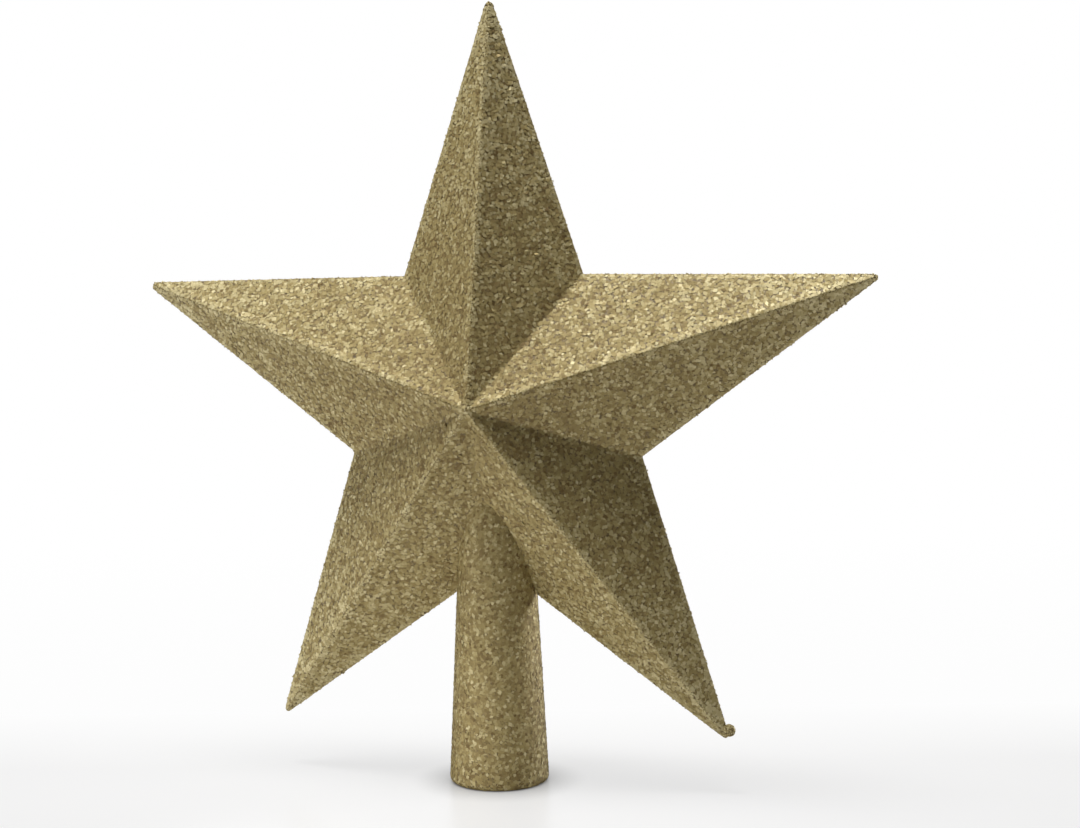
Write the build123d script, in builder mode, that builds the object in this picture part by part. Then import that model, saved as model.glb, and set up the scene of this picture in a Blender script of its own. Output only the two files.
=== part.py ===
from build123d import *
import os
from math import atan2, cos, hypot, radians, sin, sqrt

# Christmas tree topper: a hollow five-pointed star in two moulded halves, glued together round a
# tapered tube that slips over the top shoot of the tree, with a coat of gold glitter all over.
# Millimetres. The foot of the tube stands at z = 0 on the Z axis, and the front of the star faces -Y.

# Finished star over its glitter, to the corners where its flat faces would meet
star_points = 5
star_tip_radius = 100.0
star_notch_radius = 39.25
star_half_depth = 20.6
star_centre_height = 93.0
tip_round = 1.4

# Walls of the moulded halves, and the coat of glue and glitter outside them
shell_wall = 1.2
coat_thickness = 0.4
coat_foot_gap = 0.3

# Lip inside the rim of the rear half, which lines up the seam from inside the front half
lip_height = 1.0
lip_width = 1.0
lip_clearance = 0.1

# Pins on the front half and their sockets in the rear half, one pair under the ridge of each arm
pin_circle_radius = 45.0
pin_radius = 1.2
pin_length = 3.0
pin_clearance = 0.1
pin_end_gap = 0.4
boss_wall = 1.2

# Tapered socket tube, closed at its top end
tube_length = 89.0
tube_foot_radius = 12.0
tube_slope = 0.05
tube_wall = 1.6
tube_end_wall = 1.6
mouth_length = 8.0
foot_chamfer = 1.0
tube_clearance = 0.1

# Collar of the tube, set back from its top end, and the saddle ribs of both halves that trap it
collar_setback = 5.0
collar_width = 2.0
collar_reach = 2.5
collar_clearance = 0.1
rib_width = 1.6
rib_reach = 3.0

# Set drop of glue on the lower right tip, the third arm round from the top one, anticlockwise
bead_arm = 3
bead_radius = 2.2
bead_half_depth = 1.3
bead_setback = 1.3
bead_offset = 0.6

# Shape of the star that follows: half the angle between two arms, one edge of the outline, the
# distances from the centre to an edge and to a face, and half the angle of a tip
half_turn = radians(180 / star_points)
edge_across = star_notch_radius * sin(half_turn)
edge_along = star_tip_radius - star_notch_radius * cos(half_turn)
edge_distance = star_tip_radius * edge_across / hypot(edge_across, edge_along)
face_distance = edge_distance * star_half_depth / hypot(edge_distance, star_half_depth)
tip_half_angle = atan2(edge_across, edge_along)
top_angle = radians(90)

# Both halves start on the seam plane, and each grows outwards from it
star_centre = (0, 0, star_centre_height)
front_seam = Plane(origin=star_centre, x_dir=(1, 0, 0), z_dir=(0, -1, 0))
rear_seam = Plane(origin=star_centre, x_dir=(-1, 0, 0), z_dir=(0, 1, 0))

boss_radius = pin_radius + pin_clearance + boss_wall
collar_top = tube_length - collar_setback
collar_height = collar_top - collar_width


def tube_radius(height):
    # Outside radius of the bare tube at a height above its foot
    return tube_foot_radius - tube_slope * height


mouth_radius = tube_radius(mouth_length) - tube_wall
collar_radius = tube_radius(collar_height) + collar_reach


def scale_at(inset):
    # All faces are as far from the centre, so moving them in by one inset scales the star down
    return 1 - inset / face_distance


def outline_points(scale):
    # Tips and notches in turn, from the top tip round
    return [
        (
            scale * radius * cos(top_angle + step * half_turn),
            scale * radius * sin(top_angle + step * half_turn),
        )
        for step, radius in enumerate([star_tip_radius, star_notch_radius] * star_points)
    ]


def star_pyramid(seam, inset):
    # Half star with sharp tips: a triangle from each edge of the outline up to the middle of the face
    scale = scale_at(inset)
    rim = [seam.from_local_coords((x, y, 0)) for x, y in outline_points(scale)]
    apex = seam.from_local_coords((0, 0, scale * star_half_depth))
    sides = [
        Face(Wire.make_polygon([start, end, apex]))
        for start, end in zip(rim, rim[1:] + rim[:1])
    ]
    return Solid(Shell([*sides, Face(Wire.make_polygon(rim))]))


def rounded_half(seam, inset):
    # Half star whose tips are rounded in the seam plane
    with BuildPart() as half:
        add(star_pyramid(seam, inset))
        with BuildSketch(seam) as outline:
            with BuildLine():
                Polyline(*outline_points(scale_at(inset)), close=True)
            make_face()
            by_distance = outline.vertices().sort_by_distance((0, 0, 0))
            fillet(by_distance[-star_points:], radius=tip_round - inset)
        extrude(amount=star_half_depth, mode=Mode.INTERSECT)
    return half.part


def shell_half(seam):
    # Moulded wall of one half, open at the seam
    with BuildPart() as half:
        add(rounded_half(seam, coat_thickness))
        add(star_pyramid(seam, coat_thickness + shell_wall), mode=Mode.SUBTRACT)
    return half.part


def tube_core(grow):
    # Outside of the tube with its collar, filled in, and larger by grow all round above its foot
    with BuildPart() as core:
        with BuildSketch(Plane.XZ) as half_section:
            with BuildLine():
                Polyline(
                    (0, 0),
                    (tube_foot_radius + grow, 0),
                    (tube_radius(collar_height - grow) + grow, collar_height - grow),
                    (collar_radius + grow, collar_height - grow),
                    (collar_radius + grow, collar_top + grow),
                    (tube_radius(collar_top + grow) + grow, collar_top + grow),
                    (tube_radius(tube_length + grow) + grow, tube_length + grow),
                    (0, tube_length + grow),
                    close=True,
                )
            make_face()
            foot_corner = half_section.vertices().group_by(Axis.Y)[0].sort_by(Axis.X)[-1]
            chamfer(foot_corner, length=foot_chamfer)
        revolve(axis=Axis.Z)
    return core.part


def inner_features(seam, y_align):
    # Pin bosses and saddle ribs of one half, trimmed to the inside of its outer faces
    rib_bottoms = (collar_height - collar_clearance - rib_width, collar_top + collar_clearance)
    with BuildPart() as features:
        with BuildSketch(seam):
            with PolarLocations(pin_circle_radius, star_points, start_angle=90):
                Circle(boss_radius)
        extrude(amount=star_half_depth)
        for bottom in rib_bottoms:
            with BuildSketch(Plane.XY.offset(bottom)):
                Rectangle(2 * (collar_radius + rib_reach), star_half_depth, align=(Align.CENTER, y_align))
            extrude(amount=rib_width)
        add(rounded_half(seam, coat_thickness), mode=Mode.INTERSECT)
    return features.part


def coat_half(seam):
    # Glitter on one half of the star, up to the bare tube
    with BuildPart() as coat:
        add(rounded_half(seam, 0))
        add(rounded_half(seam, coat_thickness), mode=Mode.SUBTRACT)
        add(tube_core(0), mode=Mode.SUBTRACT)
    return coat.part


os.makedirs("parts", exist_ok=True)

# Front half, with the pins standing out past the seam
with BuildPart() as front_shell:
    add(shell_half(front_seam))
    add(inner_features(front_seam, Align.MAX))
    with BuildSketch(front_seam):
        with PolarLocations(pin_circle_radius, star_points, start_angle=90):
            Circle(pin_radius)
    extrude(amount=-pin_length)
    add(tube_core(tube_clearance), mode=Mode.SUBTRACT)

# Rear half, with the sockets and the lip. The lip stands on the wall of its own half, and its top edge
# clears the sloping wall of the front half.
lip_outer = scale_at(coat_thickness + shell_wall + lip_clearance) - lip_height / star_half_depth
lip_inner = lip_outer - lip_width / edge_distance
with BuildPart() as rear_shell:
    with BuildSketch(rear_seam) as lip:
        with BuildLine():
            Polyline(*outline_points(lip_outer), close=True)
        make_face()
        with BuildLine():
            Polyline(*outline_points(lip_inner), close=True)
        make_face(mode=Mode.SUBTRACT)
    extrude(amount=star_half_depth)
    add(rounded_half(rear_seam, coat_thickness), mode=Mode.INTERSECT)
    extrude(lip.sketch, amount=-lip_height)
    add(shell_half(rear_seam))
    add(inner_features(rear_seam, Align.MIN))
    with BuildSketch(rear_seam):
        with PolarLocations(pin_circle_radius, star_points, start_angle=90):
            Circle(pin_radius + pin_clearance)
    extrude(amount=pin_length + pin_end_gap, mode=Mode.SUBTRACT)
    add(tube_core(tube_clearance), mode=Mode.SUBTRACT)

# Socket tube: a straight mouth, then a bore that tapers with the outside up to the closed end
with BuildPart() as socket_tube:
    add(tube_core(0))
    bore_top = tube_length - tube_end_wall
    with BuildSketch(Plane.XZ):
        with BuildLine():
            Polyline(
                (0, 0),
                (mouth_radius, 0),
                (mouth_radius, mouth_length),
                (tube_radius(bore_top) - tube_wall, bore_top),
                (0, bore_top),
                close=True,
            )
        make_face()
    revolve(axis=Axis.Z, mode=Mode.SUBTRACT)

# Glitter on the star, split at the seam like the halves under it
with BuildPart() as front_glitter_coat:
    add(coat_half(front_seam))
with BuildPart() as rear_glitter_coat:
    add(coat_half(rear_seam))

# Glitter on the tube, from just above its foot to where it runs into the star, as thick on the chamfer
# as on the side
with BuildPart() as tube_glitter_coat:
    with BuildSketch(Plane.XZ) as skin:
        with BuildLine():
            Polyline(
                (0, 0),
                (tube_foot_radius + coat_thickness, 0),
                (tube_radius(collar_height) + coat_thickness, collar_height),
                (0, collar_height),
                close=True,
            )
        make_face()
        foot_corner = skin.vertices().group_by(Axis.Y)[0].sort_by(Axis.X)[-1]
        chamfer(foot_corner, length=foot_chamfer + coat_thickness * (2 - sqrt(2)))
    revolve(axis=Axis.Z)
    add(tube_core(0), mode=Mode.SUBTRACT)
    split(bisect_by=Plane.XY.offset(coat_foot_gap), keep=Keep.TOP)
    for seam in (front_seam, rear_seam):
        add(rounded_half(seam, 0), mode=Mode.SUBTRACT)

# Drop of glue that set on the lower right tip, round the end of the glitter coat: a flattened ball, whose
# inner side runs into the faces of the arm
bead_angle = top_angle + 2 * bead_arm * half_turn
blunt_tip_radius = star_tip_radius - tip_round * (1 / sin(tip_half_angle) - 1)
bead_reach = blunt_tip_radius - bead_setback
bead_place = (
    bead_reach * cos(bead_angle) - bead_offset * sin(bead_angle),
    bead_reach * sin(bead_angle) + bead_offset * cos(bead_angle),
)
bead_plane = Plane(origin=front_seam.from_local_coords((*bead_place, 0)))
with BuildPart() as tip_glue_bead:
    with BuildSketch(bead_plane):
        SlotOverall(2 * bead_radius, 2 * bead_half_depth)
        Rectangle(bead_radius, 2 * bead_half_depth, align=(Align.MIN, Align.CENTER), mode=Mode.INTERSECT)
    revolve(axis=Axis(bead_plane.origin, (0, 1, 0)))
    for seam in (front_seam, rear_seam):
        add(rounded_half(seam, 0), mode=Mode.SUBTRACT)

pieces = {
    "front_shell": front_shell,
    "rear_shell": rear_shell,
    "socket_tube": socket_tube,
    "front_glitter_coat": front_glitter_coat,
    "rear_glitter_coat": rear_glitter_coat,
    "tube_glitter_coat": tube_glitter_coat,
    "tip_glue_bead": tip_glue_bead,
}
for name, piece in pieces.items():
    piece.part.label = name
    export_step(piece.part, f"parts/{name}.step")
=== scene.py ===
import math
import bpy
import numpy as np
from mathutils import Matrix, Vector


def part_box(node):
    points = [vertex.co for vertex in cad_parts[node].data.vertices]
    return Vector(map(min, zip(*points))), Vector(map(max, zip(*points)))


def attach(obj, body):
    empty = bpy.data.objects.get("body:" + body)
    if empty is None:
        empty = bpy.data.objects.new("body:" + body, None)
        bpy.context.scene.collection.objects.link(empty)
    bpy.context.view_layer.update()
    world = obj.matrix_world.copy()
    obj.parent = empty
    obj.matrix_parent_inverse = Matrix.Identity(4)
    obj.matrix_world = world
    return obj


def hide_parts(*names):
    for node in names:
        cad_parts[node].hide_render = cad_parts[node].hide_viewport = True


# Star tree topper in gold glitter: a thin skin of glue over the moulded star, the tube and the drop on
# one tip, and a layer of small tilted flakes stuck to it. Metres, in the frame of the solids.
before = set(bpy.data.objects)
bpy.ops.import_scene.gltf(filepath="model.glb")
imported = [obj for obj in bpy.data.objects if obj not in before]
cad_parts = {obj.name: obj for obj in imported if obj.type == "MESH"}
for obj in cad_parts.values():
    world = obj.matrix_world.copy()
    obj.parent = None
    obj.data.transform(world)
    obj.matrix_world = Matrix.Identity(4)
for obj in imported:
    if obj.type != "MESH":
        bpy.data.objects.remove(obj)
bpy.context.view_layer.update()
mm = 0.001
rng = np.random.default_rng(11)

star = {
    "tipRadius": 100.0 * mm,  # to the corner where the two edges of an arm would meet
    "notchRadius": 39.25 * mm,
    "solidRound": 1.4 * mm,  # of the tips of the solid
    "tipRounds": np.array([1.1, 0.8, 0.9, 0.9, 1.1]) * mm,  # under the flakes, arm by arm
    "inset": 0.1 * mm,  # the flakes stand out this far
    "ridgeSoft": 0.6 * mm,  # the layer of glitter rounds the ridges off
    "ridgeBead": (0.36 * mm, 1.5 * mm),  # and is thicker along them, by this height and over this width
    "beadFade": 1.0 * mm,  # where the star is this thin, half of that is left
    "valleySoft": 0.4 * mm,  # it fills the valleys
    "skinThick": 0.4 * mm,
    "columns": 32,  # grid of the skin, between a ridge and the next valley
    "rows": 48,
    "crowding": 1.5,  # 1 crowds the columns alike at ridges and valleys, more favours the ridges
}
armNames = ["top", "right", "lower_right", "lower_left", "left"]  # clockwise from the front

# What follows from those sizes and from the coat's solid. All faces are equally far from the star's
# centre, so setting them in scales the star down
halfTurn = math.pi / len(armNames)
coatLow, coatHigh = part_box("front_glitter_coat")
tipHalf = math.atan2(
    star["notchRadius"] * math.sin(halfTurn),
    star["tipRadius"] - star["notchRadius"] * math.cos(halfTurn),
)
centreZ = coatHigh.z - star["tipRadius"] + star["solidRound"] * (1 / math.sin(tipHalf) - 1)
faceSlope = -coatLow.y / (star["tipRadius"] * math.sin(tipHalf))
setIn = 1 + star["inset"] * math.hypot(1, faceSlope) / coatLow.y
halfDepth = -coatLow.y * setIn
tipRadius = star["tipRadius"] * setIn
notchRadius = star["notchRadius"] * setIn
edgeDistance = tipRadius * math.sin(tipHalf)
roundCentre = tipRadius - star["tipRounds"] / math.sin(tipHalf)
roundAngle = np.arctan2(
    star["tipRounds"] * math.cos(tipHalf), roundCentre + star["tipRounds"] * math.sin(tipHalf)
)
ridgeSlope = faceSlope * math.cos(tipHalf)
valleySlope = math.sqrt(faceSlope**2 - (halfDepth / notchRadius) ** 2)
skinScale = 1 - star["skinThick"] * math.hypot(1, faceSlope) / halfDepth
print("star: centre height", round(centreZ / mm, 2), "mm, half depth", round(halfDepth / mm, 2), "mm")


def foldAngle(angle):
    # Angle from the nearest ridge, 0 on it and a tenth of a turn in a valley, and the arm of that ridge
    arm = np.round(angle / (2 * halfTurn)).astype(int)
    return np.abs(angle - 2 * halfTurn * arm), arm % len(armNames)


def foldToRidge(x, z):
    # The same for a place, with its distance from the star's centre
    return np.hypot(x, z), *foldAngle(np.arctan2(x, z))


def starHeight(x, z):
    # Half thickness of the star: a flat facet that falls from the middle to its edge, less the rounding
    # along the ridge and plus the filling along the valley, both hyperbolas across the fold, and plus a
    # bell-shaped bead along the ridge that dies out where the star gets thin
    rho, beta = foldToRidge(x, z)[:2]
    fromRidge = rho * np.sin(beta)
    fromValley = rho * np.sin(halfTurn - beta)
    flat = halfDepth - faceSlope * rho * np.sin(tipHalf + beta)
    rounding = ridgeSlope * (np.hypot(fromRidge, star["ridgeSoft"]) - fromRidge)
    filling = valleySlope * (np.hypot(fromValley, star["valleySoft"]) - fromValley)
    beadHeight, beadWidth = star["ridgeBead"]
    thick = np.maximum(flat, 0)
    left = thick / (thick + star["beadFade"])
    ridgeBead = left * beadHeight * np.exp(-((fromRidge / beadWidth) ** 2))
    return np.maximum(flat - rounding + filling + ridgeBead, 0)


def outlineRadius(beta, arm):
    # Reach of the outline at an angle from a ridge: the straight edge of the arm, or the round of its tip
    edge = edgeDistance / np.sin(tipHalf + beta)
    across = roundCentre[arm] * np.sin(beta)
    past = np.sqrt(np.maximum(star["tipRounds"][arm] ** 2 - across**2, 0))
    arc = roundCentre[arm] * np.cos(beta) + past
    return np.where(beta < roundAngle[arm], arc, edge)


def makePiece(name, places, corners, starts, material, smooth):
    # One mesh object from flat arrays, turned so that its faces point out of the volume it closes
    counts = np.diff(np.append(starts, len(corners)))
    first = places[corners[starts]]
    volume = 0.0
    for step in range(1, counts.max() - 1):
        has = counts > step + 1
        second = places[corners[starts[has] + step]]
        third = places[corners[starts[has] + step + 1]]
        volume += np.sum(first[has] * np.cross(second, third))
    if volume < 0:
        slots = np.arange(len(corners))
        owner = np.repeat(np.arange(len(starts)), counts)
        corners = corners[2 * starts[owner] + counts[owner] - 1 - slots]
    mesh = bpy.data.meshes.new(name)
    mesh.vertices.add(len(places))
    mesh.vertices.foreach_set("co", places.astype(np.float32).ravel())
    mesh.loops.add(len(corners))
    mesh.loops.foreach_set("vertex_index", corners.astype(np.int32))
    mesh.polygons.add(len(starts))
    mesh.polygons.foreach_set("loop_start", starts.astype(np.int32))
    mesh.update(calc_edges=True)
    mesh.polygons.foreach_set("use_smooth", np.full(len(starts), smooth))
    mesh.materials.append(material)
    piece = bpy.data.objects.new(name, mesh)
    bpy.context.scene.collection.objects.link(piece)
    return piece


def ringFaces(rings, columns, firstPole=None, lastPole=None):
    # Quads between neighbouring rings of points. With no poles the last ring joins the first,
    # and otherwise a pole closes each end with a fan
    ring = np.arange(rings if firstPole is None else rings - 1)[:, None]
    column = np.arange(columns)[None, :]
    after = (column + 1) % columns
    low = ring * columns
    high = (ring + 1) % rings * columns
    quads = np.stack([low + column, low + after, high + after, high + column], axis=-1).reshape(-1, 4)
    corners = [quads.ravel()]
    starts = [np.arange(len(quads)) * 4]
    if firstPole is not None:
        for pole, base, order in ((firstPole, 0, 1), (lastPole, (rings - 1) * columns, -1)):
            fan = np.stack([np.full(columns, pole), base + after[0], base + column[0]], axis=-1)
            starts.append(sum(map(len, corners)) + np.arange(columns) * 3)
            corners.append(fan[:, ::order].ravel())
    return np.concatenate(corners), np.concatenate(starts)


# Colours and materials
def linear(hexColour):
    # sRGB hex to the linear values that sockets take
    srgb = np.array([int(hexColour[i : i + 2], 16) for i in (0, 2, 4)]) / 255
    return (*np.where(srgb <= 0.04045, srgb / 12.92, ((srgb + 0.055) / 1.055) ** 2.4), 1.0)


def addNode(tree, kind, settings, links):
    # Adds a node, sets its properties and sockets by name, and links named sockets to it
    node = tree.nodes.new(kind)
    for name, value in settings.items():
        if isinstance(name, int) or name in node.inputs:
            node.inputs[name].default_value = value
        else:
            setattr(node, name, value)
    for name, source in links.items():
        tree.links.new(source, node.inputs[name])
    return node


def newMaterial(name):
    # Material with its node tree and its shader
    material = bpy.data.materials.new(name)
    material.use_nodes = True
    tree = material.node_tree
    return material, tree, tree.nodes["Principled BSDF"]


def setRamp(node, stops):
    # Colour ramp from a list of places and hex colours
    ramp = node.color_ramp
    while len(ramp.elements) < len(stops):
        ramp.elements.new(0.5)
    for element, (place, hexColour) in zip(ramp.elements, stops):
        element.position = place
        element.color = linear(hexColour)


def glitterFlakes():
    # Gold polyester film cut into small squares under a matt lacquer: a dull metal sheen, some flakes paler
    # and some more bronze, so that the layer reads as fine light and dark specks
    look = {
        "stops": [(0.0, "7e683d"), (0.5, "ab9963"), (1.0, "d7ca9b")],
        "roughness": (0.7, 0.6),
        "metallic": 0.25,
    }
    material, tree, shader = newMaterial("gold_polyester_flakes")
    tone = addNode(tree, "ShaderNodeAttribute", {"attribute_name": "flakeTone"}, {})
    ramp = addNode(tree, "ShaderNodeValToRGB", {}, {"Fac": tone.outputs["Fac"]})
    setRamp(ramp, look["stops"])
    rough = addNode(
        tree,
        "ShaderNodeMapRange",
        {"To Min": look["roughness"][0], "To Max": look["roughness"][1]},
        {"Value": tone.outputs["Fac"]},
    )
    tree.links.new(ramp.outputs["Color"], shader.inputs["Base Color"])
    tree.links.new(rough.outputs["Result"], shader.inputs["Roughness"])
    shader.inputs["Metallic"].default_value = look["metallic"]
    return material


def glitterGlue():
    # Clear glue set hard over glitter dust: darker gold than the flakes, with a grain of tiny glints
    look = {
        "dust": 0.4 * mm,
        "stops": [(0.0, "675636"), (0.5, "8b784c"), (1.0, "a99562")],
        "bump": 0.06 * mm,
        "roughness": 0.5,
    }
    material, tree, shader = newMaterial("glitter_dust_in_clear_glue")
    place = addNode(tree, "ShaderNodeTexCoord", {}, {})
    grain = addNode(
        tree, "ShaderNodeTexVoronoi", {"Scale": 1 / look["dust"]}, {"Vector": place.outputs["Object"]}
    )
    parts = addNode(tree, "ShaderNodeSeparateColor", {}, {"Color": grain.outputs["Color"]})
    ramp = addNode(tree, "ShaderNodeValToRGB", {}, {"Fac": parts.outputs["Red"]})
    setRamp(ramp, look["stops"])
    bump = addNode(
        tree,
        "ShaderNodeBump",
        {"Distance": look["bump"], "Strength": 1.0},
        {"Height": parts.outputs["Green"]},
    )
    tree.links.new(ramp.outputs["Color"], shader.inputs["Base Color"])
    tree.links.new(bump.outputs["Normal"], shader.inputs["Normal"])
    shader.inputs["Roughness"].default_value = look["roughness"]
    return material


def mouldedPolystyrene():
    # Gold-tinted polystyrene as it leaves the mould: a soft gloss with faint flow marks
    look = {
        "flow": 9.0 * mm,
        "detail": 4.0,
        "stops": [(0.35, "a08448"), (0.65, "b0945a")],
        "roughness": (0.25, 0.38),
    }
    material, tree, shader = newMaterial("gold_moulded_polystyrene")
    place = addNode(tree, "ShaderNodeTexCoord", {}, {})
    flow = addNode(
        tree,
        "ShaderNodeTexNoise",
        {"Scale": 1 / look["flow"], "Detail": look["detail"]},
        {"Vector": place.outputs["Object"]},
    )
    ramp = addNode(tree, "ShaderNodeValToRGB", {}, {"Fac": flow.outputs["Fac"]})
    setRamp(ramp, look["stops"])
    rough = addNode(
        tree,
        "ShaderNodeMapRange",
        {"To Min": look["roughness"][0], "To Max": look["roughness"][1]},
        {"Value": flow.outputs["Fac"]},
    )
    tree.links.new(ramp.outputs["Color"], shader.inputs["Base Color"])
    tree.links.new(rough.outputs["Result"], shader.inputs["Roughness"])
    return material


flakeMaterial = glitterFlakes()
glueMaterial = glitterGlue()
plasticMaterial = mouldedPolystyrene()
for node in ("front_shell", "rear_shell", "socket_tube"):
    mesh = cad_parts[node].data
    mesh.materials.clear()
    mesh.materials.append(plasticMaterial)
print("materials: flakes, glue, polystyrene")

# Tube, over its glitter: a straight taper with a rounded foot
tube = {
    "footRadius": 12.15 * mm,
    "slope": 0.05,
    "thick": 0.15 * mm,
    "footRound": 1.4 * mm,
    "footGap": 0.3 * mm,
    "top": 72.0 * mm,  # inside the star
    "columns": 160,
    "footRows": 12,
    "rows": 60,
    "cut": (-10.0 * mm, 82.0 * mm),  # the star's skin is cut away for the tube between these heights
    "cutInset": 0.15 * mm,
}
tubeLean = math.atan(tube["slope"])
footCentreR = (
    tube["footRadius"] - tube["slope"] * tube["footRound"] - tube["footRound"] / math.cos(tubeLean)
)
footStart = -math.asin(1 - tube["footGap"] / tube["footRound"])
arcLength = tube["footRound"] * (tubeLean - footStart)
sideStartZ = tube["footRound"] * (1 + math.sin(tubeLean))
sideLength = (tube["top"] - sideStartZ) / math.cos(tubeLean)


def tubeProfile(length):
    # Radius, height and the normal's lean at a length along the profile: round the foot, then up the side
    turn = np.minimum(footStart + length / tube["footRound"], tubeLean)
    up = np.maximum(length - arcLength, 0)
    radius = footCentreR + tube["footRound"] * np.cos(turn) - up * math.sin(tubeLean)
    height = tube["footRound"] * (1 + np.sin(turn)) + up * math.cos(tubeLean)
    return radius, height, turn


def tubeRadius(z):
    # Radius of the straight taper at a height
    return tube["footRadius"] - tube["slope"] * z


def turnProfile(radius, height):
    # Profile carried round the Z axis, one ring for each of its points
    angle = np.linspace(0, 2 * math.pi, tube["columns"], endpoint=False)
    return np.stack(
        [
            radius[:, None] * np.sin(angle),
            radius[:, None] * -np.cos(angle),
            np.repeat(height[:, None], tube["columns"], axis=1),
        ],
        axis=-1,
    ).reshape(-1, 3)


def tubeSkin():
    # Profile of the outside, then back along the inside, which is one wall's thickness in along the normals
    onFoot = np.linspace(0, arcLength, tube["footRows"], endpoint=False)
    onSide = np.linspace(arcLength, arcLength + sideLength, tube["rows"])
    radius, height, turn = tubeProfile(np.concatenate([onFoot, onSide]))
    back = slice(None, None, -1)
    radius = np.concatenate([radius, (radius - tube["thick"] * np.cos(turn))[back]])
    height = np.concatenate([height, (height - tube["thick"] * np.sin(turn))[back]])
    corners, starts = ringFaces(len(radius), tube["columns"])
    places = turnProfile(radius, height)
    return makePiece("tube_glitter_skin", places, corners, starts, glueMaterial, True)


def tubeCutter():
    # Plain cone a little inside the tube's surface, with a fan over each end
    height = np.array(tube["cut"])
    rings = turnProfile(tubeRadius(height) - tube["cutInset"], height)
    places = np.concatenate([rings, [[0, 0, height[0]], [0, 0, height[1]]]])
    corners, starts = ringFaces(2, tube["columns"], len(rings), len(rings) + 1)
    return makePiece("cutter", places, corners, starts, glueMaterial, False)


def starSkin(name, side):
    # Rings of the outline, from the middle of the face out to the seam and back along the inside.
    # Angles crowd together at the ridges and at the valleys, where the surface turns
    step = np.arange(star["columns"]) / star["columns"]
    beta = halfTurn * (0.5 - 0.5 * np.cos(math.pi * step ** star["crowding"]))
    beta = np.concatenate([beta, halfTurn + (halfTurn - np.append(beta[1:], halfTurn))[::-1]])
    angle = (2 * halfTurn * np.arange(len(armNames))[:, None] + beta).ravel()
    reach = outlineRadius(*foldAngle(angle))
    share = np.linspace(0, 1, star["rows"] + 1)[1:, None]
    x = share * reach * np.sin(angle)
    z = share * reach * np.cos(angle)
    y = side * starHeight(x, z)
    y[-1] = 0
    outer = np.stack([x, y, z], axis=-1)
    pole = np.array([[0, side * starHeight(0.0, 0.0), 0]])
    rings = np.concatenate([outer, skinScale * outer[::-1]]).reshape(-1, 3)
    places = np.concatenate([rings, pole, skinScale * pole]) + [0, 0, centreZ]
    corners, starts = ringFaces(2 * star["rows"], len(angle), len(rings), len(rings) + 1)
    return makePiece(name, places, corners, starts, glueMaterial, True)


def cutAway(piece, cutter):
    # Takes the cutter's volume out of the piece, for good
    cut = piece.modifiers.new("cut", "BOOLEAN")
    cut.operation = "DIFFERENCE"
    cut.solver = "EXACT"
    cut.object = cutter
    whole = piece.data
    piece.data = bpy.data.meshes.new_from_object(
        piece.evaluated_get(bpy.context.evaluated_depsgraph_get())
    )
    piece.modifiers.clear()
    piece.data.name = piece.name
    bpy.data.meshes.remove(whole)


skins = {
    "front_glitter_coat": starSkin("front_glitter_skin", -1),
    "rear_glitter_coat": starSkin("rear_glitter_skin", 1),
    "tube_glitter_coat": tubeSkin(),
}
cutter = tubeCutter()
cutAway(skins["front_glitter_coat"], cutter)
cutAway(skins["rear_glitter_coat"], cutter)
bpy.data.meshes.remove(cutter.data)
for node, piece in skins.items():
    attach(piece, "root")
    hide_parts(node)
    print("skin", piece.name, len(piece.data.vertices), "vertices")

# Glitter flakes
flake = {
    "radius": 0.52 * mm,  # from the middle to a corner
    "edgeSize": 0.45,  # share of that on the very edges and ridges
    "radiusSpread": 0.15,
    "stretch": 0.15,
    "perArea": 2.3 / mm**2,
    "perEdge": 5.0 / mm**2,  # as many more along edges and ridges
    "perSeam": 3.2 / mm,
    "jitter": 0.2 * mm,
    "tilt": 0.05,
    "looseShare": 0.04,  # flakes that stand up more than the rest
    "looseTilt": 0.2,
    "tone": 0.5,
    "paler": 0.3,  # painted light: how much lighter an arm's flakes are made from the star's centre to its tip
    "paleFrom": 0.45,  # share of the way out at which it has the tone above
    "paintedEdgeHighlight": (0.2, 1.1 * mm),  # and how much lighter it is along edges and ridges, a painted highlight, over this width
    "tubeTone": 0.43,
    "tubeLumps": 0.5,  # the layer is smoother on the tube
    "paintedHighlightTone": 0.7,  # painted highlight: the flakes of the seam, and of the drop, are made paler
    "seamSize": 0.55,  # and smaller ones
    "seamInset": (0.22 * mm, 0.12 * mm),  # their mean distance in from the edge, and its spread
    "toneSpread": 0.2,
    "lift": (0.03 * mm, 0.13 * mm),
    "root": 0.2 * mm,  # depth of a flake's foot in the glue
    "outlineGap": 0.2 * mm,  # those of the faces keep this far inside the outline
    "floorGap": 0.05 * mm,  # and all of them clear of what the star stands on
    "mapSize": 0.42,  # from the middle to a corner on the map, as a share of a flake's own square there
}


def evenSpread(count):
    # Points that fill the unit square evenly: from a random start, whole steps of one over the plastic
    # number and of one over its square
    plastic = 1.32471795724
    steps = np.array([1 / plastic, 1 / plastic**2])
    return (rng.random(2) + np.arange(count)[:, None] * steps) % 1


def unit(vectors):
    # The same directions, one long
    return vectors / np.linalg.norm(vectors, axis=-1, keepdims=True)


# Lumps of the glue under them
lump = {"sizes": (1.2 * mm, 7.0 * mm), "slope": 0.045, "tone": 0.07, "waves": 64}
lumpWays = unit(rng.normal(size=(lump["waves"], 3)))
lumpPitch = 2 * math.pi / rng.uniform(*lump["sizes"], lump["waves"])
lumpStart = rng.uniform(0, 2 * math.pi, lump["waves"])


def lumpy(places):
    # Uneven layer of glue: many plane waves that cross at random. Gives its slope, whose root mean square
    # along each axis is the one set above, and its height, whose root mean square is 1
    phase = places @ (lumpPitch[:, None] * lumpWays).T + lumpStart
    slope = lump["slope"] * math.sqrt(6 / lump["waves"]) * np.cos(phase) @ lumpWays
    return slope, math.sqrt(2 / lump["waves"]) * np.sin(phase).sum(axis=1)


def sizeBeside(distance):
    # Share of its size that a flake has at a distance from an edge, so that it hardly hangs over
    return np.clip(distance / flake["radius"], flake["edgeSize"], 1)


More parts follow.
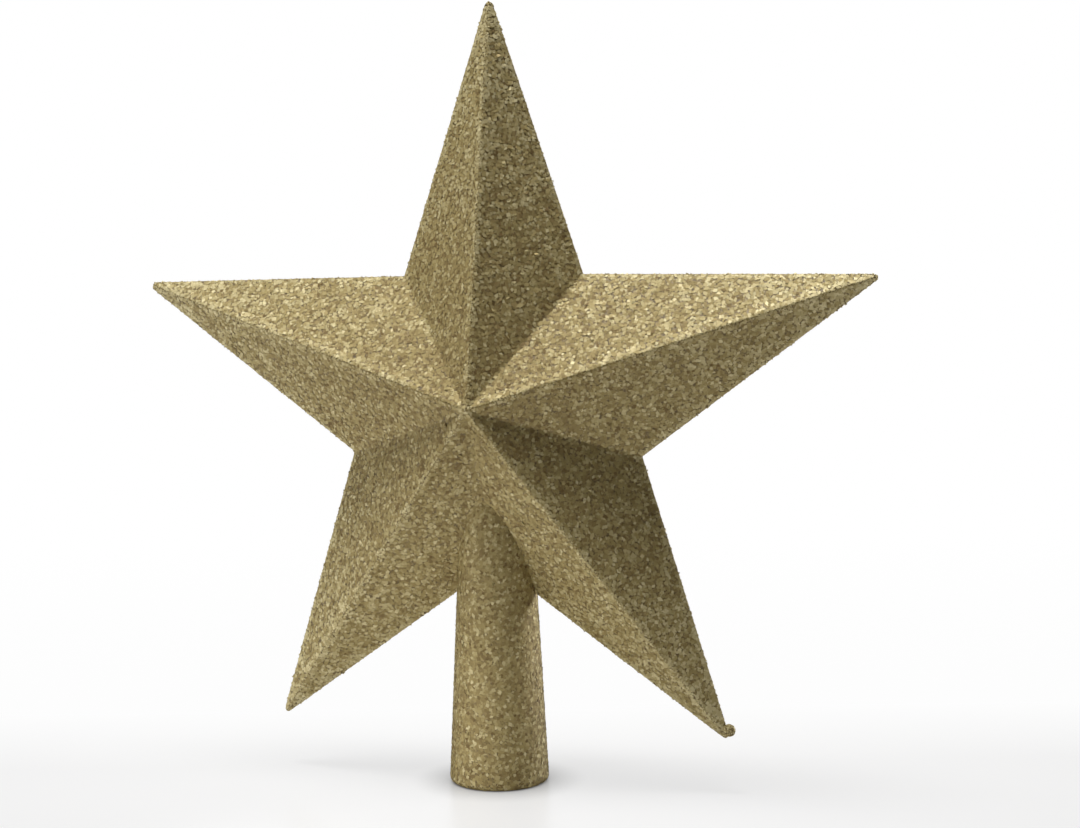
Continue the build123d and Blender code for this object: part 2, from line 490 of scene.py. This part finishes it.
def stickFlakes(name, places, normals, slot, middleTone, size=1.0, lumps=1.0):
    # A small square over each place, tilted at random off the surface, and closed below by four triangles
    # that meet in a point in the glue: five points and sixteen corners each
    count = len(places)
    loose = rng.random(count) < flake["looseShare"]
    tilt = np.where(loose, flake["looseTilt"], flake["tilt"])[:, None]
    slope, height = lumpy(places)
    facing = unit(normals - lumps * slope + tilt * rng.normal(size=(count, 3)))
    across = unit(np.cross(facing, rng.normal(size=(count, 3))))
    along = np.cross(facing, across)
    radius = size * flake["radius"] * np.exp(flake["radiusSpread"] * rng.normal(size=count))
    stretch = np.exp(flake["stretch"] * rng.normal(size=count))
    turn = np.arange(4) * math.pi / 2
    lift = rng.uniform(*flake["lift"], count)
    middle = places + lift[:, None] * normals
    square = (
        middle[:, None]
        + (radius * stretch)[:, None, None] * np.cos(turn)[:, None] * across[:, None]
        + (radius / stretch)[:, None, None] * np.sin(turn)[:, None] * along[:, None]
    )
    foot = places - flake["root"] * normals
    points = np.concatenate([square, foot[:, None]], axis=1).reshape(-1, 3)
    points[:, 2] = np.maximum(points[:, 2], flake["floorGap"])
    sides = np.stack([np.roll(np.arange(4), -1), np.arange(4), np.full(4, 4)], axis=-1)
    pattern = np.concatenate([np.arange(4), sides.ravel()])
    corners = (5 * np.arange(count)[:, None] + pattern).ravel()
    starts = (16 * np.arange(count)[:, None] + np.append(0, 4 + 3 * np.arange(4))).ravel()
    piece = makePiece(name, points, corners, starts, flakeMaterial, False)
    tone = piece.data.attributes.new("flakeTone", "FLOAT", "POINT")
    shade = middleTone + flake["toneSpread"] * rng.normal(size=count) + lumps * lump["tone"] * height
    tone.data.foreach_set("value", np.repeat(np.clip(shade, 0, 1), 5).astype(np.float32))
    # Each flake has a square of its own on the map
    side = math.ceil(math.sqrt(count))
    cell = np.stack([np.arange(count) % side, np.arange(count) // side], axis=-1) + 0.5
    shape = np.stack([np.append(np.cos(turn), 0), np.append(np.sin(turn), 0)], axis=-1)
    squares = (cell[:, None] + flake["mapSize"] * shape).reshape(-1, 2) / side
    layer = piece.data.uv_layers.new(name="OFBake")
    layer.uv.foreach_set("vector", squares[corners].astype(np.float32).ravel())
    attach(piece, "root")
    print("flakes", name, count)


def starNormals(x, z, side):
    # Outward normals of a face of the star, from the fall of its height to either side of a point
    reach = 0.05 * mm
    slopeX = (starHeight(x + reach, z) - starHeight(x - reach, z)) / (2 * reach)
    slopeZ = (starHeight(x, z + reach) - starHeight(x, z - reach)) / (2 * reach)
    return unit(np.stack([-slopeX, np.full_like(x, side), -slopeZ], axis=-1))


def faceSpots(perArea):
    # Even points over the square round the star, as many as the slope of its faces asks for, of which those
    # inside the outline are kept
    count = int((2 * tipRadius) ** 2 * math.hypot(1, faceSlope) * perArea)
    spots = (2 * evenSpread(count) - 1) * tipRadius + rng.normal(scale=flake["jitter"], size=(count, 2))
    rho, beta, arm = foldToRidge(*spots.T)
    return spots[rho < outlineRadius(beta, arm) - flake["outlineGap"]]


def roomAround(x, z):
    # Distance to the nearest edge or ridge, seen from the front
    rho, beta = foldToRidge(x, z)[:2]
    return np.minimum(edgeDistance - rho * np.sin(tipHalf + beta), rho * np.sin(beta))


def faceFlakes(half, side):
    # Even points, with more of them along edges and ridges, where flakes are small. The nearest arm takes
    # each of them. Their tone is made lighter evenly along the arm, painted light, and by a bell curve
    # beside edges and ridges, a painted highlight
    more = faceSpots(flake["perEdge"])
    more = more[roomAround(*more.T) < flake["radius"]]
    x, z = np.concatenate([faceSpots(flake["perArea"]), more]).T
    y = side * starHeight(x, z)
    inTube = (np.hypot(x, y) < tubeRadius(z + centreZ)) & (z < 0)
    x, y, z = x[~inTube], y[~inTube], z[~inTube]
    places = np.stack([x, y, z + centreZ], axis=-1)
    normals = starNormals(x, z, side)
    rho, _, nearest = foldToRidge(x, z)
    room = roomAround(x, z)
    size = sizeBeside(room)
    pale, band = flake["paintedEdgeHighlight"]
    # Painted light: the flakes of each arm are made lighter toward its tip
    tone = flake["tone"] + flake["paler"] * (rho / tipRadius - flake["paleFrom"])
    # Painted highlight: lighter by a bell curve beside edges and ridges
    tone = tone + pale * np.exp(-((room / band) ** 2))
    for arm, name in enumerate(armNames):
        mine = nearest == arm
        look = (tone[mine], size[mine])
        stickFlakes(f"{half}_flakes_{name}_arm", places[mine], normals[mine], "gold_glitter", *look)


def rimFlakes():
    # Flakes over the sharp edge between the halves, facing anywhere between the two faces
    edges = 2 * len(armNames)
    edgeLength = notchRadius * math.sin(halfTurn) / math.sin(tipHalf)
    count = int(edges * edgeLength * flake["perSeam"])
    spread = evenSpread(count)
    # Equal steps along the edge, from the tip to the notch
    edge = np.floor(spread[:, 0] * edges)
    along = (spread[:, 0] * edges) % 1
    ridge = 2 * halfTurn * np.floor(edge / 2)
    hand = np.where(edge % 2 == 0, 1, -1)
    valley = ridge + hand * halfTurn
    tip = tipRadius * np.stack([np.sin(ridge), np.cos(ridge)], axis=-1)
    notch = notchRadius * np.stack([np.sin(valley), np.cos(valley)], axis=-1)
    spots = tip + along[:, None] * (notch - tip)
    rho, beta, arm = foldToRidge(*spots.T)
    spots = spots * (outlineRadius(beta, arm) / rho)[:, None]
    outAngle = ridge + hand * (math.pi / 2 - tipHalf)
    tipShare = np.clip(beta / roundAngle[arm], 0, 1)
    outAngle = ridge + (outAngle - ridge) * tipShare
    fan = (spread[:, 1] - 0.5) * 2 * (math.pi / 2 - math.atan(faceSlope))
    normals = np.stack(
        [np.cos(fan) * np.sin(outAngle), np.sin(fan), np.cos(fan) * np.cos(outAngle)], axis=-1
    )
    places = np.stack([spots[:, 0], np.zeros(count), spots[:, 1] + centreZ], axis=-1)
    inward = rng.normal(*flake["seamInset"], size=(count, 1))
    places = places - inward * np.stack([np.sin(outAngle), np.zeros(count), np.cos(outAngle)], axis=-1)
    inTube = (np.abs(places[:, 0]) < tubeRadius(places[:, 2])) & (places[:, 2] < centreZ)
    # Painted highlight: the seam's flakes are paler than those of the faces
    look = (flake["paintedHighlightTone"], flake["seamSize"])
    stickFlakes("seam_flakes", places[~inTube], normals[~inTube], "gold_glitter", *look)


def tubeFlakes():
    # Even points over the foot's round and the side, up to the star
    length = arcLength + sideLength
    count = int(2 * math.pi * tubeRadius(tube["top"] / 2) * length * flake["perArea"])
    spread = evenSpread(count)
    radius, height, turn = tubeProfile(spread[:, 0] * length)
    angle = 2 * math.pi * spread[:, 1]
    x = radius * np.sin(angle)
    y = -radius * np.cos(angle)
    places = np.stack([x, y, height], axis=-1)
    normals = np.stack(
        [np.cos(turn) * np.sin(angle), -np.cos(turn) * np.cos(angle), np.sin(turn)], axis=-1
    )
    outside = np.abs(y) > starHeight(x, height - centreZ)
    look = (flake["tubeTone"], 1.0, flake["tubeLumps"])
    stickFlakes("tube_flakes", places[outside], normals[outside], "gold_glitter", *look)


for half, side in (("front", -1), ("rear", 1)):
    faceFlakes(half, side)
rimFlakes()
tubeFlakes()

# Drop of glue that set on the lower right tip: a flattened ball, its middle set back from the end of the
# tip and off to the upper side of the arm
bead = {
    "radius": 1.4 * mm,
    "halfDepth": 1.1 * mm,
    "setback": 1.0 * mm,
    "offset": 1.4 * mm,
    "columns": 64,
    "rows": 28,
}


def dropSurface(lean, angle):
    # Places and normals on a ball that is squeezed along Y, at angles from that axis and round it
    arm = armNames.index("lower_right")
    ridge = 2 * halfTurn * arm
    reach = roundCentre[arm] + star["tipRounds"][arm] - bead["setback"]
    centre = [
        reach * math.sin(ridge) - bead["offset"] * math.cos(ridge),
        0,
        centreZ + reach * math.cos(ridge) + bead["offset"] * math.sin(ridge),
    ]
    ball = np.stack([np.sin(lean) * np.sin(angle), -np.cos(lean), np.sin(lean) * np.cos(angle)], axis=-1)
    size = np.array([bead["radius"], bead["halfDepth"], bead["radius"]])
    return centre + size * ball, unit(ball / size)


def glueDrop():
    # Rings round the depth of the star, from its front to its back
    lean, angle = np.meshgrid(
        np.linspace(0, math.pi, bead["rows"] + 2)[1:-1],
        np.linspace(0, 2 * math.pi, bead["columns"], endpoint=False),
        indexing="ij",
    )
    rings = dropSurface(lean, angle)[0].reshape(-1, 3)
    poles = dropSurface(np.array([0.0, math.pi]), np.zeros(2))[0]
    corners, starts = ringFaces(bead["rows"], bead["columns"], len(rings), len(rings) + 1)
    drop = makePiece("tip_glue_drop", np.concatenate([rings, poles]), corners, starts, glueMaterial, True)
    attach(drop, "root")
    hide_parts("tip_glue_bead")


def dropFlakes():
    # Even points over the drop, where it stands clear of the arm
    count = int(4 * math.pi * bead["radius"] ** 2 * flake["perArea"] / flake["seamSize"])
    spread = evenSpread(count)
    places, normals = dropSurface(np.arccos(1 - 2 * spread[:, 0]), 2 * math.pi * spread[:, 1])
    x, y, z = places.T
    clear = np.abs(y) >= starHeight(x, z - centreZ)
    # Painted highlight: the drop's flakes are paler than those of the faces
    look = (flake["paintedHighlightTone"], flake["seamSize"])
    stickFlakes("tip_drop_flakes", places[clear], normals[clear], "glittered_glue", *look)


glueDrop()
dropFlakes()

# Floor, light and camera
stage = {
    "size": 4.0,
    "away": (-0.3, 0.95, 0),  # way along the floor in which it fades to white, from near to far
    "near": 0.015,
    "far": 0.415,
    "colour": "ecebea",
    "bounce": "b0afad",  # what it throws back on the star
    "roughness": 0.9,
    "specular": 0.1,
    "glow": [(0.0, "ffffff"), (0.15, "fdfdfd"), (1.0, "ffffff")],
    "glowShare": (0.815, 1.0),  # of what the eye sees, at the first and at the second of these stops
    "gloss": 0.22,  # of the card near the star, which mirrors its foot
    "glossRough": 0.32,
    "crevice": 0.01,  # what stands this near keeps the light of the room off the card
}


def product(tree, one, other):
    # One value times the other
    return addNode(tree, "ShaderNodeMath", {"operation": "MULTIPLY"}, {0: one, 1: other}).outputs["Value"]


def largest(tree, one, other):
    # The larger of two values
    return addNode(tree, "ShaderNodeMath", {"operation": "MAXIMUM"}, {0: one, 1: other}).outputs["Value"]


def shinyRays(tree, path):
    # 1 for what metal and clear things show of their surroundings
    return largest(tree, path.outputs["Is Glossy Ray"], path.outputs["Is Transmission Ray"])


def paleFloor():
    # White card that glows to the eye, so that only a soft trace of the shadow is left near the star, and
    # that is plain white behind it. The light that it throws back on the star is that of a grey card. Near
    # the star it has a soft gloss, and its glow is dimmed close to what stands on it, a painted contact
    # shadow
    half = stage["size"] / 2
    mesh = bpy.data.meshes.new("floor")
    places = [(-half, -half, 0), (half, -half, 0), (half, half, 0), (-half, half, 0)]
    mesh.from_pydata(places, [], [(0, 1, 2, 3)])
    floor = bpy.data.objects.new("floor", mesh)
    bpy.context.scene.collection.objects.link(floor)
    material, tree, shader = newMaterial("white_card")
    shader.inputs["Roughness"].default_value = stage["roughness"]
    shader.inputs["Specular IOR Level"].default_value = stage["specular"]
    place = addNode(tree, "ShaderNodeTexCoord", {}, {})
    away = addNode(
        tree,
        "ShaderNodeVectorMath",
        {"operation": "DOT_PRODUCT", 1: stage["away"]},
        {0: place.outputs["Object"]},
    )
    fade = addNode(
        tree,
        "ShaderNodeMapRange",
        {"From Min": stage["near"], "From Max": stage["far"]},
        {"Value": away.outputs["Value"]},
    ).outputs["Result"]
    path = addNode(tree, "ShaderNodeLightPath", {}, {})
    shiny = shinyRays(tree, path)
    seen = largest(tree, path.outputs["Is Camera Ray"], shiny)
    card = addNode(tree, "ShaderNodeValToRGB", {}, {"Fac": seen})
    setRamp(card, [(0.0, stage["bounce"]), (1.0, stage["colour"])])
    tree.links.new(card.outputs["Color"], shader.inputs["Base Color"])
    tone = addNode(tree, "ShaderNodeValToRGB", {}, {"Fac": fade})
    setRamp(tone, stage["glow"])
    # Painted contact shadow: ambient occlusion dims the glow near the foot
    clear = addNode(tree, "ShaderNodeAmbientOcclusion", {"Distance": stage["crevice"]}, {})
    glow = addNode(
        tree,
        "ShaderNodeEmission",
        {},
        {"Color": tone.outputs["Color"], "Strength": clear.outputs["AO"]},
    )
    low, high = stage["glowShare"]
    toEye = addNode(
        tree,
        "ShaderNodeMapRange",
        {"From Max": stage["glow"][1][0], "To Min": low, "To Max": high},
        {"Value": fade},
    )
    share = largest(
        tree,
        product(tree, toEye.outputs["Result"], path.outputs["Is Camera Ray"]),
        product(tree, fade, shiny),
    )
    both = addNode(
        tree,
        "ShaderNodeMixShader",
        {},
        {"Fac": share, 1: shader.outputs["BSDF"], 2: glow.outputs["Emission"]},
    )
    gloss = addNode(tree, "ShaderNodeBsdfGlossy", {"Roughness": stage["glossRough"]}, {})
    nearGloss = addNode(
        tree,
        "ShaderNodeMapRange",
        {"From Max": stage["glow"][1][0], "To Min": stage["gloss"], "To Max": 0.0},
        {"Value": fade},
    )
    shown = product(tree, nearGloss.outputs["Result"], path.outputs["Is Camera Ray"])
    glossy = addNode(
        tree,
        "ShaderNodeMixShader",
        {},
        {"Fac": shown, 1: both.outputs["Shader"], 2: gloss.outputs["BSDF"]},
    )
    tree.links.new(glossy.outputs["Shader"], tree.nodes["Material Output"].inputs["Surface"])
    mesh.materials.append(material)


lamps = {
    "overhead": {"place": (-0.1, -0.12, 1.2), "aim": (0, 0, 0.09), "size": (0.38, 0.38), "power": 15.8},
    "overheadLeft": {"place": (-0.8, -0.2, 0.9), "aim": (0, 0, 0.09), "size": (0.7, 0.7), "power": 1.8},
    "overheadRight": {"place": (0.5, 0.0, 1.1), "aim": (0, 0, 0.09), "size": (0.5, 0.5), "power": 1.2},
    "lowLeft": {"place": (-0.34, -0.17, 0.035), "aim": (0, 0, 0.06), "size": (0.2, 0.06), "power": 0.31},
    "lowFront": {
        "place": (-0.02, -0.08, 0.014),
        "aim": (-0.005, 0, 0.05),
        "size": (0.06, 0.02),
        "power": 0.0155,
    },
    "lowRight": {"place": (0.4, 0.3, 0.07), "aim": (0, 0, 0.05), "size": (0.15, 0.12), "power": 1.3},
}
# White backdrop behind the star: the way to it, and how near to that way the patch starts and is full, as
# cosines
backdrop = {"way": (-0.32, 0.94, -0.07), "patch": (0.8, 0.95)}


def looking(place, aim, roll=0.0):
    # Turn of a lamp or a camera: its -Z points at the aim, and its X stays level before the roll
    forward = unit(np.array(aim) - np.array(place))
    level = unit(np.cross(forward, [0, 0, 1]))
    upward = np.cross(level, forward)
    right = math.cos(roll) * level + math.sin(roll) * upward
    turned = np.eye(4)
    turned[:3, 0] = right
    turned[:3, 1] = np.cross(right, forward)
    turned[:3, 2] = -forward
    turned[:3, 3] = place
    return turned


def setLight():
    # Area lamps that the camera doesn't see, and a world that is white to the camera and dark to all else,
    # but that metal and clear things show as white where the backdrop stands
    for name, lamp in lamps.items():
        light = bpy.data.lights.new(name, "AREA")
        light.shape = "RECTANGLE"
        light.size, light.size_y = lamp["size"]
        light.energy = lamp["power"]
        holder = bpy.data.objects.new(name, light)
        holder.matrix_world = Matrix(looking(lamp["place"], lamp["aim"]))
        holder.visible_camera = False
        bpy.context.scene.collection.objects.link(holder)
    world = bpy.data.worlds.new("room")
    world.use_nodes = True
    bpy.context.scene.world = world
    tree = world.node_tree
    white = tree.nodes["Background"]
    white.inputs["Color"].default_value = linear("ffffff")
    place = addNode(tree, "ShaderNodeTexCoord", {}, {})
    toward = addNode(
        tree,
        "ShaderNodeVectorMath",
        {"operation": "DOT_PRODUCT", 1: backdrop["way"]},
        {0: place.outputs["Generated"]},
    )
    start, full = backdrop["patch"]
    patch = addNode(
        tree,
        "ShaderNodeMapRange",
        {"interpolation_type": "SMOOTHSTEP", "From Min": start, "From Max": full},
        {"Value": toward.outputs["Value"]},
    )
    path = addNode(tree, "ShaderNodeLightPath", {}, {})
    shown = product(tree, shinyRays(tree, path), patch.outputs["Result"])
    share = largest(tree, path.outputs["Is Camera Ray"], shown)
    tree.links.new(share, white.inputs["Strength"])


view = {
    "place": (0.1501, -0.44035, 0.12504),
    "aim": (0.01162, 0.0, 0.09084),
    "roll": math.radians(-0.714),
    "lens": 63.63,
    "sensor": 36.0,
    "nearest": 0.01,
}


def setCamera():
    # Camera at the photograph's viewpoint
    camera = bpy.data.cameras.new("camera")
    camera.sensor_fit = "HORIZONTAL"
    camera.sensor_width = view["sensor"]
    camera.lens = view["lens"]
    camera.clip_start = view["nearest"]
    holder = bpy.data.objects.new("camera", camera)
    holder.matrix_world = Matrix(looking(view["place"], view["aim"], view["roll"]))
    bpy.context.scene.collection.objects.link(holder)
    bpy.context.scene.camera = holder


paleFloor()
setLight()
setCamera()
bpy.context.scene.view_settings.view_transform = "Standard"
print("floor, light and camera are set")
